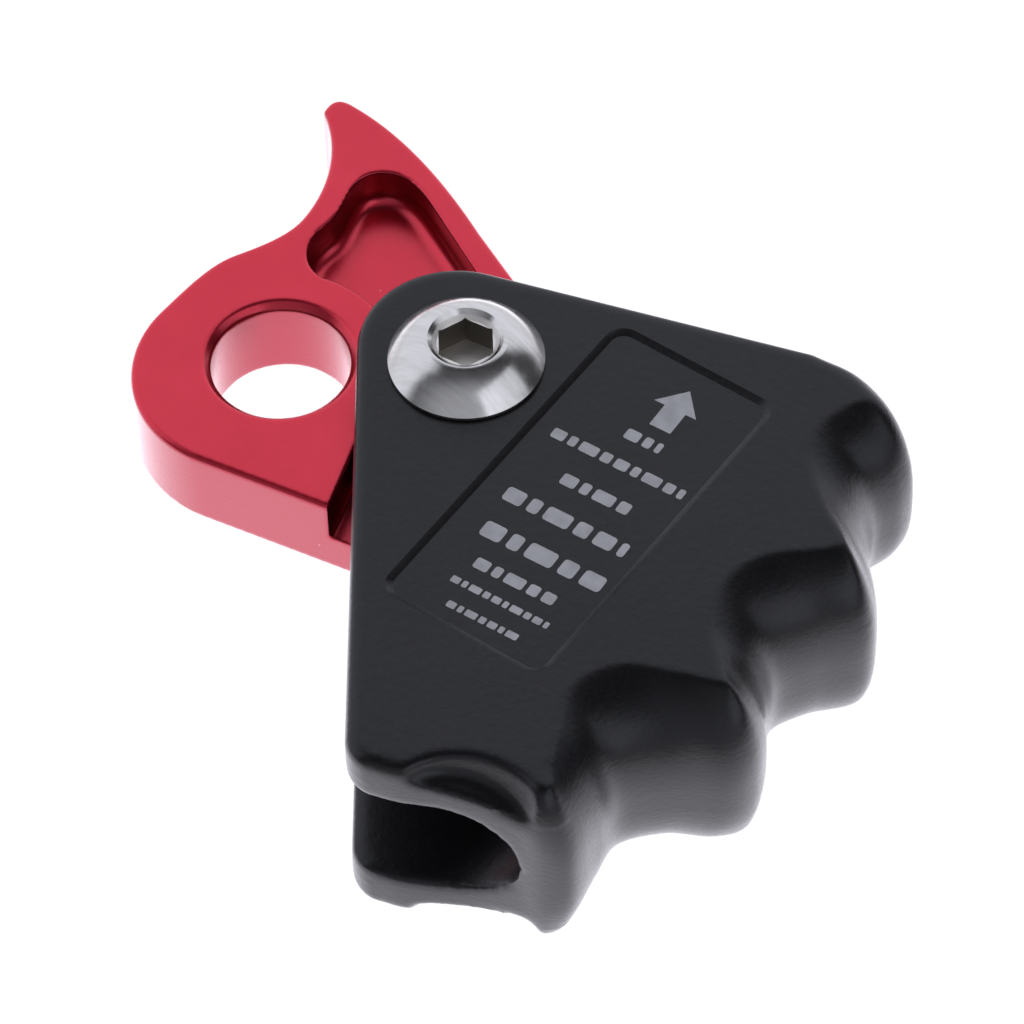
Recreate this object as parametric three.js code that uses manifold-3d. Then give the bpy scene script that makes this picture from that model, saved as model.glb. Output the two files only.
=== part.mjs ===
// Ascender (rope grab) for 9 to 12 mm rope, in millimetres.
//
// A one-piece body folds round the rope as a deep channel: two flat plates joined by a finger grip.
// A cam lever with a carabiner eye and a thumb horn turns between the plates on a button-head bolt,
// and its nose squeezes the rope against the closed end of the channel.
//
// The shapes are drawn with the pivot axis at x = y = 0 and the back face at z = 0. +Y is the rope's
// way up, +X points to the finger grip and +Z is the thickness. The last lines move the whole
// object so that its origin is the middle of its footprint.

import * as THREE from 'three';
import { mergeVertices } from 'three/addons/utils/BufferGeometryUtils.js';
import Module from 'manifold-3d';

const wasm = await Module();
wasm.setup();

// Driving dimensions
const bodyThickness = 26;
const channelWidth = 13.5;        // room for 12 mm rope
const channelEnd = 39.1;          // x of the closed end of the channel
const channelEndDepth = 9.5;      // over which the end narrows as half an ellipse
const leverThickness = 10.7;
const boltDiameter = 10;
const boltHeadDiameter = 17.5;
const boltHeadHeight = 4;
const hexAcrossFlats = 6;
const hexDepth = 4.4;
const hexTurn = 7;                // degrees
const eyeBoreDiameter = 15.8;
const eyeChamfer = 0.85;          // front mouth
const eyeBackChamfer = 0.2;
const runningGap = 0.3;
const faceGap = 0.05;
const overshoot = 1;              // by which the cutting tools reach past the faces they open

// Heights worked out from them
const middle = bodyThickness / 2;
const plateThickness = (bodyThickness - channelWidth) / 2;
const channelBack = plateThickness;
const channelFront = bodyThickness - plateThickness;
const leverBack = middle - leverThickness / 2;
const leverFront = middle + leverThickness / 2;
const boltRadius = boltDiameter / 2;
const boltHoleRadius = boltRadius + runningGap;
const sleeveRadius = boltHoleRadius + 1.2;
const leverBoreRadius = sleeveRadius + 0.15;

// Plate outline
const plateRounding = 1.8;        // fillet along the plates' edges
const leftEdgeDistance = 12.3;    // pivot to the slanted left edge
const leftEdgeNormal = 215.1;     // degrees
const topEdgeDistance = 13.4;
const topEdgeNormal = 106.6;
const pivotCornerRadius = 11;
const bottomCornerRadius = 4.6;
const bottomCornerCentre = [23.1, -46.3];
const fullness = 0.72;            // 1 rounds the edges as ellipses, less makes them fuller
const gripBreak = 25;             // degrees by which the grip's flanks break away from the face

// Lever details
const eyeCentre = [-21.3, -6.6];
const eyeLug = { centre: [-22.4, -9.1], radius: 14.5 };
const leverChamfer = 0.4;
const leverBottomSlope = 9.5;     // degrees
const hornLinePoint = [-5.1, 17.4];
const hornLineSlope = -25.5;      // degrees
const noseRadius = 31;            // cam face, measured from the pivot at 0 degrees
const noseGrowth = 0.115;         // extra radius for each degree below 0
const pocketDepth = 5;
const pocketEyeRadius = 12.9;     // the pocket's wall follows the eye
const pocketHubRadius = 10.4;     // and the hub
const washerClearance = 0.15;
const hubRadius = 9.7;
const notchFloor = middle;
const notchEnd = -58;             // degrees
const springPocketRadius = 9.2;
const springPocketFloor = notchFloor - 0.4;
const springRadius = 7.9;
const springWireRadius = 0.6;
const springLegAngle = -27;       // degrees
const springFootAngle = 150;      // degrees
const springLegEnd = 12.4;
const springFootDepth = 1;        // of the foot in the back plate

const frontWasherRadius = 9.3;
const rearWasherRadius = 12.4;

const lockNut = { acrossFlats: 16, back: 0.5, front: 4.5 };
const nutSeatGap = 0.1;

// Fineness
const stepsPerStation = 3;
const roundSteps = 4;
const circleSteps = 40;
const wireHoleSteps = 12;

const radians = THREE.MathUtils.degToRad;

function polar(radius, degrees, [x, y] = [0, 0]) {
  return [x + radius * Math.cos(radians(degrees)), y + radius * Math.sin(radians(degrees))];
}

// Booleans

function toSolid(geometry) {
  geometry.deleteAttribute('normal');
  geometry.deleteAttribute('uv');
  const merged = mergeVertices(geometry, 1e-4);
  const corners = merged.index.array;
  const kept = [];
  for (let i = 0; i < corners.length; i += 3) {
    const [a, b, c] = corners.slice(i, i + 3);
    if (a !== b && b !== c && c !== a) {
      kept.push(a, b, c);
    }
  }
  return new wasm.Manifold(new wasm.Mesh({
    numProp: 3,
    vertProperties: Float32Array.from(merged.attributes.position.array),
    triVerts: Uint32Array.from(kept),
  }));
}

function toGeometry(solid) {
  const mesh = solid.getMesh();
  const geometry = new THREE.BufferGeometry();
  geometry.setAttribute('position', new THREE.BufferAttribute(mesh.vertProperties, 3));
  geometry.setIndex(new THREE.BufferAttribute(mesh.triVerts, 1));
  geometry.computeVertexNormals();
  return geometry;
}

// Building blocks, each returning a closed geometry that faces out

function revolve(profile, segments = circleSteps) {
  const points = profile.map(([r, z]) => new THREE.Vector2(r, z));
  return new THREE.LatheGeometry(points, segments).rotateX(Math.PI / 2);
}

function cylinder(radius, low, high, [x, y] = [0, 0], segments = circleSteps) {
  return revolve([[0, low], [radius, low], [radius, high], [0, high]], segments).translate(x, y, 0);
}

function ring(inner, outer, low, high) {
  return revolve([[inner, low], [outer, low], [outer, high], [inner, high], [inner, low]]);
}

function prism(shape, low, high, bevel = 0, bevelSteps = 1, curveSegments = 10) {
  return new THREE.ExtrudeGeometry(shape, {
    depth: high - low - 2 * bevel,
    bevelEnabled: bevel > 0,
    bevelThickness: bevel,
    bevelSize: bevel,
    bevelOffset: -bevel,
    bevelSegments: bevelSteps,
    curveSegments,
  }).translate(0, 0, low + bevel);
}

function polygon(points) {
  return new THREE.Shape(points.map(([x, y]) => new THREE.Vector2(x, y)));
}

function hexagon(acrossFlats) {
  const cornerRadius = acrossFlats / Math.sqrt(3);
  return polygon([0, 60, 120, 180, 240, 300].map((angle) => polar(cornerRadius, angle)));
}

function roundedRectangle(left, bottom, right, top, radius) {
  const shape = new THREE.Shape();
  shape.absarc(right - radius, bottom + radius, radius, -Math.PI / 2, 0);
  shape.absarc(right - radius, top - radius, radius, 0, Math.PI / 2);
  shape.absarc(left + radius, top - radius, radius, Math.PI / 2, Math.PI);
  shape.absarc(left + radius, bottom + radius, radius, Math.PI, 1.5 * Math.PI);
  return shape;
}

// A closed skin over rings of points that run counter-clockwise, from the top ring down
function skin(rings) {
  const count = rings[0].length;
  const index = [];
  for (let level = 0; level < rings.length - 1; level += 1) {
    for (let i = 0; i < count; i += 1) {
      const a = level * count + i;
      const b = level * count + ((i + 1) % count);
      index.push(a, a + count, b, b, a + count, b + count);
    }
  }
  const flat = (points) => points.map((point) => new THREE.Vector2(point.x, point.y));
  const lastStart = (rings.length - 1) * count;
  for (const [a, b, c] of THREE.ShapeUtils.triangulateShape(flat(rings[0]), [])) {
    index.push(a, b, c);
  }
  for (const [a, b, c] of THREE.ShapeUtils.triangulateShape(flat(rings.at(-1)), [])) {
    index.push(lastStart + a, lastStart + c, lastStart + b);
  }
  const geometry = new THREE.BufferGeometry().setFromPoints(rings.flat());
  geometry.setIndex(index);
  return geometry;
}

// Point of the straight top edge at a given x, or of the same line set in by a distance
function topEdgePoint(x, inset = 0) {
  const angle = radians(topEdgeNormal);
  return [x, (topEdgeDistance - inset - x * Math.cos(angle)) / Math.sin(angle)];
}

// Body
//
// Every station of the outline gives a point on the edge of the flat face, the point of the widest
// outline that belongs to it, and the height over which the surface rounds from one to the other.

const gripStations = [
  // [flat x, y], [widest x, y], rounding
  [[23.1, -49.1], [23.1, -50.9], plateRounding],       // bottom edge, hollowed in the middle
  [[26.6, -48.2], [26.6, -50.0], plateRounding],
  [[30.9, -46.2], [30.7, -48.1], 2.2],
  [[35.0, -44.7], [35.0, -46.5], 3],
  [[38.5, -43.7], [39.2, -45.6], 5],
  [[40.4, -43.0], [42.2, -45.4], 9],                   // heel of the grip
  [[41.0, -41.8], [44.6, -44.1], middle],
  [[39.8, -40.4], [45.0, -42.2], middle],
  [[37.9, -36.3], [44.3, -37.6], middle],
  [[35.6, -30.4], [44.1, -32.8], middle],              // third finger
  [[38.0, -25.0], [48.0, -28.4], middle],
  [[43.9, -22.3], [52.4, -25.6], middle],
  [[48.4, -20.6], [53.8, -22.2], middle],              // ridge
  [[46.2, -18.4], [52.8, -18.6], middle],
  [[42.7, -14.6], [50.3, -14.8], middle],
  [[40.9, -9.0], [49.1, -10.6], middle],               // second finger
  [[42.6, -3.8], [51.4, -6.0], middle],
  [[48.3, 2.2], [54.6, -1.4], middle],                 // ridge
  [[43.0, 6.2], [52.7, 3.2], middle],
  [[38.7, 10.2], [48.2, 8.4], middle],
  [[37.3, 14.6], [45.6, 13.4], middle],                // first finger
  [[38.3, 18.6], [46.6, 17.6], middle],
  [[39.4, 20.4], [45.9, 20.8], middle],                // shoulder of the grip
  [[38.4, 21.6], [42.2, 23.2], 10],
  [[35.2, 21.9], [36.6, 24.2], 5],
  [topEdgePoint(30.4, plateRounding), topEdgePoint(31), plateRounding],
];

function gripOutline() {
  const curve = (side) => new THREE.CatmullRomCurve3(
    gripStations.map((station) => new THREE.Vector3(...station[side], station[2])),
    false,
    'catmullrom',
    0.5,
  );
  const steps = (gripStations.length - 1) * stepsPerStation;
  const faces = curve(0).getPoints(steps);
  const widest = curve(1).getPoints(steps);
  return faces.map((face, i) => ({ face, widest: widest[i], rounding: widest[i].z }));
}

function cornerOutline(centre, radius, startAngle, endAngle, steps) {
  const outline = [];
  for (let i = 0; i <= steps; i += 1) {
    const angle = startAngle + ((endAngle - startAngle) * i) / steps;
    outline.push({
      face: new THREE.Vector3(...polar(radius - plateRounding, angle, centre)),
      widest: new THREE.Vector3(...polar(radius, angle, centre)),
      rounding: plateRounding,
    });
  }
  return outline;
}

// Centre of the arc that rounds the corner between the top edge and the left edge
function pivotCornerCentre() {
  const [topX, topY] = polar(1, topEdgeNormal);
  const [leftX, leftY] = polar(1, leftEdgeNormal);
  const top = topEdgeDistance - pivotCornerRadius;
  const left = leftEdgeDistance - pivotCornerRadius;
  const cross = topX * leftY - topY * leftX;
  return [(top * leftY - left * topY) / cross, (topX * left - leftX * top) / cross];
}

// Point of a station's rounded section, from the face (part 0) to the widest outline (part 1). The
// plates' edges leave the face tangentially and the flanks of the grip with a break.
function sectionPoint({ face, widest, rounding }, part) {
  const gripShare = Math.max(rounding - plateRounding, 0) / (middle - plateRounding);
  const start = radians(gripBreak * gripShare);
  const angle = start + (Math.PI / 2 - start) * part;
  const out = (value) => Math.sin(value) ** fullness;
  const down = (value) => Math.max(Math.cos(value), 0) ** fullness;
  const spread = (out(angle) - out(start)) / (1 - out(start));
  const drop = rounding * (1 - down(angle) / down(start));
  return face.clone().lerp(widest, spread).setZ(bodyThickness - drop);
}

function bodyBlank() {
  const outline = [
    ...gripOutline(),
    ...cornerOutline(pivotCornerCentre(), pivotCornerRadius, topEdgeNormal, leftEdgeNormal, 14),
    ...cornerOutline(bottomCornerCentre, bottomCornerRadius, leftEdgeNormal, 262, 5),
  ];
  const front = [];
  for (let step = 0; step <= roundSteps; step += 1) {
    front.push(outline.map((station) => sectionPoint(station, step / roundSteps)));
  }
  const mirror = (points) => points.map((p) => new THREE.Vector3(p.x, p.y, bodyThickness - p.z));
  const back = front.slice(0, -1).reverse().map(mirror);
  const belt = outline.map(({ widest }) => new THREE.Vector3(widest.x, widest.y, middle));
  const upper = front.slice(0, -1);
  const lastUpper = front.at(-1).map((p) => p.clone().setZ(Math.max(p.z, middle + 0.05)));
  return skin([...upper, lastUpper, belt, mirror(lastUpper), ...back]);
}

function channelTool() {
  const half = channelWidth / 2;
  const reach = 120;
  const endStart = channelEnd - channelEndDepth;
  const shape = new THREE.Shape();
  shape.absellipse(endStart, 0, channelEndDepth, half, -Math.PI / 2, Math.PI / 2);
  shape.lineTo(-reach, half);
  shape.lineTo(-reach, -half);
  return prism(shape, -reach, reach, 0, 1, 16).rotateX(Math.PI / 2).translate(0, 0, middle);
}

// Dished step where a thumb clears the rope, cut into both faces above the lower mouth. Its floor
// gets deeper towards the heel of the grip.
const scoop = { centre: [35.3, -51], radii: [9.3, 8.4], depth: 2.8, foot: 2.4 };
const scoopSlope = { at: [34, -44], x: 0.24, y: -0.05 };

function scoopTool() {
  const shape = new THREE.Shape();
  shape.absellipse(...scoop.centre, ...scoop.radii, 0, 2 * Math.PI);
  const floor = bodyThickness - scoop.depth;
  const shear = new THREE.Matrix4();
  shear.elements[2] = -scoopSlope.x;
  shear.elements[6] = -scoopSlope.y;
  shear.elements[14] = scoopSlope.x * scoopSlope.at[0] + scoopSlope.y * scoopSlope.at[1];
  const shearRoom = 10;
  return prism(shape, floor, bodyThickness + shearRoom, scoop.foot, 4, 14).applyMatrix4(shear);
}

// Shallow panel for a label in the front face
const label = { left: 11, bottom: -30.9, right: 31.8, top: 13.8, corner: 2, depth: 0.4 };

function labelTool() {
  const outline = roundedRectangle(label.left, label.bottom, label.right, label.top, label.corner);
  return prism(outline, bodyThickness - label.depth, bodyThickness + overshoot);
}

// Line of the lever's notch shoulder, and the same line set back by a gap towards the notch
const shoulder = { distance: 10.04, normal: 197 };

function shoulderPoint(radius, gap = 0) {
  const angle = Math.acos((shoulder.distance - gap) / radius);
  return polar(radius, shoulder.normal + THREE.MathUtils.radToDeg(angle));
}

// Lug inside the front plate that the lever's notch turns round; it stops the lever at both ends
function stopLug() {
  const inner = hubRadius + 0.5;
  const outer = 12;
  const end = 248;
  const outerEnd = 241.5;
  const shape = polygon([
    shoulderPoint(inner, runningGap),
    shoulderPoint(outer, runningGap),
    polar(outer, outerEnd),
    polar(outer, end),
    polar(inner, end),
  ]);
  const floorGap = 0.4;
  return prism(shape, notchFloor + floorGap, channelFront + overshoot);
}

function bodyGeometry() {
  const nutHex = hexagon(lockNut.acrossFlats + 2 * runningGap);
  const nutPocket = prism(nutHex, -overshoot, lockNut.front + nutSeatGap);
  const springHole = cylinder(
    springWireRadius + runningGap,
    channelBack - springFootDepth - runningGap,
    channelBack + overshoot,
    polar(springRadius, springFootAngle),
    wireHoleSteps,
  );
  const frontScoop = toSolid(scoopTool());
  const backScoop = frontScoop.mirror([0, 0, 1]).translate([0, 0, bodyThickness]);
  const body = toSolid(bodyBlank())
    .subtract(toSolid(channelTool()))
    .subtract(frontScoop)
    .subtract(backScoop)
    .subtract(toSolid(labelTool()))
    .subtract(toSolid(cylinder(boltHoleRadius, -overshoot, bodyThickness + overshoot)))
    .subtract(toSolid(nutPocket))
    .subtract(toSolid(springHole))
    .add(toSolid(stopLug()));
  return toGeometry(body);
}

// Cam lever

function hornLine(x) {
  return [x, hornLinePoint[1] + (x - hornLinePoint[0]) * Math.tan(radians(hornLineSlope))];
}

function noseFace(degrees) {
  return polar(noseRadius - noseGrowth * degrees, degrees);
}

function leverOutline() {
  const lugStart = 176;
  const lugEnd = 270 + leverBottomSlope;
  const lowerEdgeStart = polar(eyeLug.radius, lugEnd, eyeLug.centre);
  const lowerEdgeRise = Math.tan(radians(leverBottomSlope));
  const lowerEdge = (x) => [x, lowerEdgeStart[1] + (x - lowerEdgeStart[0]) * lowerEdgeRise];
  const waist = [-32, 11.8];
  const lugShoulder = [-35.1, 3];
  const hornTip = [-40.6, 29.6];

  const shape = new THREE.Shape();
  shape.absarc(...eyeLug.centre, eyeLug.radius, radians(lugStart), radians(lugEnd));
  shape.lineTo(...lowerEdge(25.5));
  shape.quadraticCurveTo(...noseFace(-29), ...noseFace(-22));
  for (let angle = -19; angle <= -7; angle += 3) {
    shape.lineTo(...noseFace(angle));
  }
  shape.quadraticCurveTo(...noseFace(0), ...hornLine(26.5));
  shape.lineTo(...hornLine(-14));
  shape.bezierCurveTo(-22, 25.9, -30, 29, -37.4, 29.3);
  shape.quadraticCurveTo(...hornTip, -39.9, 26.5);
  shape.bezierCurveTo(-35.2, 23.2, -32.3, 17.6, ...waist);
  shape.bezierCurveTo(-31.9, 8.9, -33.4, 6, ...lugShoulder);
  shape.bezierCurveTo(-36.6, 0.3, -36.7, -3.7, ...polar(eyeLug.radius, lugStart, eyeLug.centre));
  return shape;
}

// Weight-saving pocket between the horn, the eye and the hub
function pocketTool() {
  const shape = new THREE.Shape();
  shape.absarc(...eyeCentre, pocketEyeRadius, radians(106), radians(56), true);
  shape.absarc(0, 0, pocketHubRadius, radians(145), radians(100), true);
  shape.lineTo(-6.8, 14.4);
  shape.lineTo(-20.8, 21.8);
  shape.bezierCurveTo(-24.9, 24, -27.7, 24, -29.5, 21.6);
  shape.bezierCurveTo(-31.1, 19, -28.7, 16, -29.1, 13);
  shape.bezierCurveTo(-29.6, 9.8, -28.9, 6.4, ...polar(pocketEyeRadius, 106, eyeCentre));
  return prism(shape, leverFront - pocketDepth, leverFront + overshoot);
}

// The front half of the lever is cut away round the hub, from the shoulder to the nose
function notchTool() {
  const reach = 34;
  const noseReach = 22;
  const shape = new THREE.Shape();
  shape.moveTo(...polar(shoulder.distance, shoulder.normal));
  shape.lineTo(...shoulderPoint(reach));
  shape.lineTo(...polar(reach, -75));
  shape.lineTo(...polar(noseReach, notchEnd));
  shape.lineTo(...polar(hubRadius, notchEnd));
  shape.absarc(0, 0, hubRadius, radians(notchEnd), radians(shoulder.normal - 360), true);
  return prism(shape, notchFloor, leverFront + overshoot);
}

function eyeTool() {
  const bore = eyeBoreDiameter / 2;
  const mouth = bore + eyeChamfer;
  return revolve([
    [0, leverBack - overshoot],
    [bore + eyeBackChamfer + overshoot, leverBack - overshoot],
    [bore, leverBack + eyeBackChamfer],
    [bore, leverFront - eyeChamfer],
    [mouth + overshoot, leverFront + overshoot],
    [0, leverFront + overshoot],
  ]).translate(...eyeCentre, 0);
}

// Window behind the nose that leaves the spring's long leg free over the lever's whole travel
function springLegTool() {
  const inner = 6;
  const outer = 13.4;
  const start = springLegAngle - 6;
  const end = start + 62;
  const shape = new THREE.Shape();
  shape.absarc(0, 0, outer, radians(start), radians(end));
  shape.lineTo(...polar(inner, end));
  shape.lineTo(...polar(inner, start));
  return prism(shape, leverBack - overshoot, springPocketFloor);
}

function leverGeometry() {
  const lever = toSolid(prism(leverOutline(), leverBack, leverFront, leverChamfer))
    .subtract(toSolid(pocketTool()))
    .subtract(toSolid(notchTool()))
    .subtract(toSolid(eyeTool()))
    .subtract(toSolid(cylinder(leverBoreRadius, leverBack - overshoot, leverFront + overshoot)))
    .subtract(toSolid(cylinder(springPocketRadius, leverBack - overshoot, springPocketFloor)))
    .subtract(toSolid(springLegTool()));
  return toGeometry(lever);
}

// Pivot hardware

function boltGeometry() {
  const headRadius = boltHeadDiameter / 2;
  const seat = bodyThickness + faceGap;
  const top = seat + boltHeadHeight;
  const rim = 0.5;
  const crownRadius = 4.6;
  const domeSteps = 8;
  const domeBulge = 0.55;
  const end = lockNut.back + 0.1;
  const endChamfer = 0.6;
  const domeProfile = [];
  for (let step = 0; step <= domeSteps; step += 1) {
    const part = step / domeSteps;
    domeProfile.push([
      headRadius + (crownRadius - headRadius) * part,
      seat + rim + (boltHeadHeight - rim) * part + domeBulge * Math.sin(Math.PI * part),
    ]);
  }
  const screw = revolve([
    [0, end],
    [boltRadius - endChamfer, end],
    [boltRadius, end + endChamfer],
    [boltRadius, seat],
    [headRadius, seat],
    ...domeProfile,
    [0, top],
  ]);
  const countersink = 0.95;
  const mouthFoot = 3.25;
  const mouthRim = 4.25;
  const mouth = revolve([
    [0, top - countersink],
    [mouthFoot, top - countersink],
    [mouthRim, top],
    [mouthRim, top + overshoot],
    [0, top + overshoot],
  ]);
  const socket = prism(hexagon(hexAcrossFlats), top - hexDepth, top + overshoot);
  const turnedSocket = toSolid(socket.rotateZ(radians(hexTurn)));
  return toGeometry(toSolid(screw).subtract(toSolid(mouth)).subtract(turnedSocket));
}

function nutGeometry() {
  const hex = toSolid(prism(hexagon(lockNut.acrossFlats), lockNut.back, lockNut.front));
  return toGeometry(hex.subtract(toSolid(cylinder(boltHoleRadius, -overshoot, bodyThickness))));
}

function sleeveGeometry() {
  return ring(boltHoleRadius, sleeveRadius, channelBack + faceGap, channelFront - faceGap);
}

function frontWasherGeometry() {
  const back = leverFront + washerClearance;
  const front = channelFront - washerClearance;
  return ring(leverBoreRadius, frontWasherRadius, back, front);
}

function rearWasherGeometry() {
  const back = channelBack + washerClearance;
  const front = leverBack - washerClearance;
  const washer = toSolid(ring(leverBoreRadius, rearWasherRadius, back, front));
  const legHole = cylinder(
    springWireRadius + 2 * runningGap,
    channelBack - overshoot,
    leverBack + overshoot,
    polar(springRadius, springFootAngle),
    wireHoleSteps,
  );
  return toGeometry(washer.subtract(toSolid(legHole)));
}

// Torsion spring: a foot in the back plate, two and a half coils and a leg in the lever's window
function springGeometry() {
  const turn = 360 * 2 + ((springLegAngle - springFootAngle + 360) % 360);
  const coilBack = leverBack + springWireRadius + 0.2;
  const coilFront = springPocketFloor - springWireRadius - 0.15;
  const coilSteps = 40;
  const coilLead = 9;
  const point = (radius, angle, z) => new THREE.Vector3(...polar(radius, angle), z);
  const path = [
    point(springRadius, springFootAngle, channelBack - springFootDepth),
    point(springRadius, springFootAngle, channelBack + springWireRadius),
  ];
  for (let step = 0; step <= coilSteps; step += 1) {
    const part = step / coilSteps;
    const angle = springFootAngle + coilLead + (turn - 2 * coilLead) * part;
    path.push(point(springRadius, angle, coilBack + (coilFront - coilBack) * part));
  }
  const legStart = springRadius + 2;
  path.push(point(legStart, springLegAngle, coilFront));
  path.push(point(springLegEnd, springLegAngle, coilFront));
  const section = polygon([0, 60, 120, 180, 240, 300].map((angle) => polar(springWireRadius, angle)));
  return new THREE.ExtrudeGeometry(section, {
    extrudePath: new THREE.CatmullRomCurve3(path),
    steps: 90,
    bevelEnabled: false,
  });
}

// Assembly

const finishes = {
  powderCoat: new THREE.MeshStandardMaterial({ color: '#242427', roughness: 0.42, metalness: 0 }),
  redAnodised: new THREE.MeshStandardMaterial({ color: '#b3182e', roughness: 0.32, metalness: 0.85 }),
  stainless: new THREE.MeshStandardMaterial({ color: '#c9c7c4', roughness: 0.2, metalness: 1 }),
  bronze: new THREE.MeshStandardMaterial({ color: '#a98a55', roughness: 0.4, metalness: 1 }),
  nylon: new THREE.MeshStandardMaterial({ color: '#dcdad2', roughness: 0.55, metalness: 0 }),
  springSteel: new THREE.MeshStandardMaterial({ color: '#85878a', roughness: 0.3, metalness: 1 }),
};

const group = new THREE.Group();

function place(name, geometry, material) {
  const mesh = new THREE.Mesh(geometry, material);
  mesh.name = name;
  group.add(mesh);
}

place('body', bodyGeometry(), finishes.powderCoat);
place('cam_lever', leverGeometry(), finishes.redAnodised);
place('pivot_bolt', boltGeometry(), finishes.stainless);
place('pivot_sleeve', sleeveGeometry(), finishes.bronze);
place('front_thrust_washer', frontWasherGeometry(), finishes.nylon);
place('rear_thrust_washer', rearWasherGeometry(), finishes.nylon);
place('torsion_spring', springGeometry(), finishes.springSteel);
place('lock_nut', nutGeometry(), finishes.stainless);

// The origin is the middle of the footprint, on the surface that the back face rests on
const centre = new THREE.Box3().setFromObject(group).getCenter(new THREE.Vector3());
group.position.set(-centre.x, -centre.y, 0);

export default group;
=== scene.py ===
"""Looks of the ascender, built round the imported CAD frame.

Shapes are drawn in millimetres with the pivot axis at x = y = 0 and the back face at z = 0, as the
CAD is, and to_frame() moves them to the row frame in metres.
"""

import math

import bpy
import numpy as np
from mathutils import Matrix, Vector


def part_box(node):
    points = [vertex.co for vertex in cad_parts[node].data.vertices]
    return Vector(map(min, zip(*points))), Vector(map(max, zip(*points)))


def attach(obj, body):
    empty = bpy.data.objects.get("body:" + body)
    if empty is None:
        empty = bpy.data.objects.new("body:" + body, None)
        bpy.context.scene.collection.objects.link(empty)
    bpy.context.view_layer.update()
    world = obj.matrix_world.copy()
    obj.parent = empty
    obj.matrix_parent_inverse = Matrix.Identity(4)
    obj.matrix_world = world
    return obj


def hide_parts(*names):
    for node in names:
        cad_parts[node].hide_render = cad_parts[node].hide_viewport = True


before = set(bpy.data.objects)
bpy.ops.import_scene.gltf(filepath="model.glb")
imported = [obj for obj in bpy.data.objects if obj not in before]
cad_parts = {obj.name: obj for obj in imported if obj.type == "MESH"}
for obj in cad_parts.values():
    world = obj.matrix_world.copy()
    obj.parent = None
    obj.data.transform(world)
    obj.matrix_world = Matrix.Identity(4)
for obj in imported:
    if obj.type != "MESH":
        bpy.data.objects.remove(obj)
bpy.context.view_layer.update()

MM = 0.001


def middle_of(node):
    low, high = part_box(node)
    return (low + high) / 2


# Sizes taken from the frame, in millimetres

PIVOT = middle_of("pivot_bolt")
BODY_THICKNESS = (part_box("body")[1].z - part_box("body")[0].z) / MM
MIDDLE = BODY_THICKNESS / 2
LEVER_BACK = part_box("cam_lever")[0].z / MM
LEVER_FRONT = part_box("cam_lever")[1].z / MM
BOLT_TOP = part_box("pivot_bolt")[1].z / MM
BOLT_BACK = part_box("pivot_bolt")[0].z / MM
HEAD_RADIUS = (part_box("pivot_bolt")[1].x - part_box("pivot_bolt")[0].x) / 2 / MM
SLEEVE_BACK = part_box("pivot_sleeve")[0].z / MM
SLEEVE_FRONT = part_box("pivot_sleeve")[1].z / MM
SLEEVE_RADIUS = (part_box("pivot_sleeve")[1].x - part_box("pivot_sleeve")[0].x) / 2 / MM
NUT_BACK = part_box("lock_nut")[0].z / MM
NUT_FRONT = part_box("lock_nut")[1].z / MM
NUT_FLATS = (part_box("lock_nut")[1].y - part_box("lock_nut")[0].y) / MM

# Sizes of the design, in millimetres and degrees

CHANNEL_WIDTH = 13.5
CHANNEL_END = 39.1
CHANNEL_END_DEPTH = 9.5
CHANNEL_BACK = MIDDLE - CHANNEL_WIDTH / 2
CHANNEL_FRONT = MIDDLE + CHANNEL_WIDTH / 2
PLATE_ROUNDING = 1.8
LEFT_EDGE = {"distance": 12.3, "normal": 215.1}
TOP_EDGE = {"distance": 13.4, "normal": 106.6}
PIVOT_CORNER_RADIUS = 11
BOTTOM_CORNER = {"centre": (23.1, -46.3), "radius": 4.6, "end": 262}
FULLNESS = 0.72
GRIP_BREAK = 25
GAP = 0.3
SLEEVE_CLEARANCE = 0.15
BOLT_RADIUS = 5
LABEL = {"left": 11, "bottom": -30.9, "right": 31.8, "top": 13.8, "radius": 2}
LABEL_DEPTH = 0.4
LABEL_RIM_SLOPE = 27
SCOOP = {"centre": (35.8, -51.3), "radii": (8.7, 7.9), "depth": 2.8, "foot": 1.3, "lean": 0.38}
SCOOP_SLOPE = {"at": (34, -44), "x": 0.2, "y": -0.05}
EYE_CENTRE = (-21.3, -6.6)
EYE_LUG = {"centre": (-22.4, -9.1), "radius": 14.5}
EYE_RADIUS = 7.9
EYE_CHAMFER = 0.85
EYE_BACK_CHAMFER = 0.2
LEVER_CHAMFER = 0.4
LEVER_BOTTOM_SLOPE = 9.5
HORN_LINE = {"point": (-5.1, 17.4), "slope": -25.5}
NOSE = {"radius": 31, "growth": 0.115}
POCKET = {"depth": 5, "eye_radius": 12.9, "hub_radius": 10.4, "cove": 1.7}
HUB_RADIUS = 9.7
NOTCH_END = -58
STOP_LUG = {"inner": HUB_RADIUS + 0.5, "outer": 12, "start": 240, "end": 248}
SHOULDER = {"distance": 10.04, "normal": 197}
SPRING = {"pocket": 9.2, "floor": MIDDLE - 0.4, "radius": 7.9, "wire": 0.6, "leg": -27, "foot": 150}
SPRING_LEG_END = 12.4
LEG_WINDOW = {"inner": 6, "outer": 13.4, "before the leg": 6, "turn": 62}
HEX_FLATS = 6
HEX_DEPTH = 4.4
HEX_TURN = 7
SOCKET_MOUTH = {"inner": 3.25, "outer": 4.25, "depth": 0.95}

# How far a tool reaches past the face it cuts through
MARGIN = 1

# Print on the label panel, in millimetres and degrees

PRINT_TILT = 2.5
PRINT_HEIGHT = 0.03
ARROW = {"tip": (22.7, 10.7), "head": (5.4, 3.1), "stem": (2.7, 3.2)}
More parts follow.
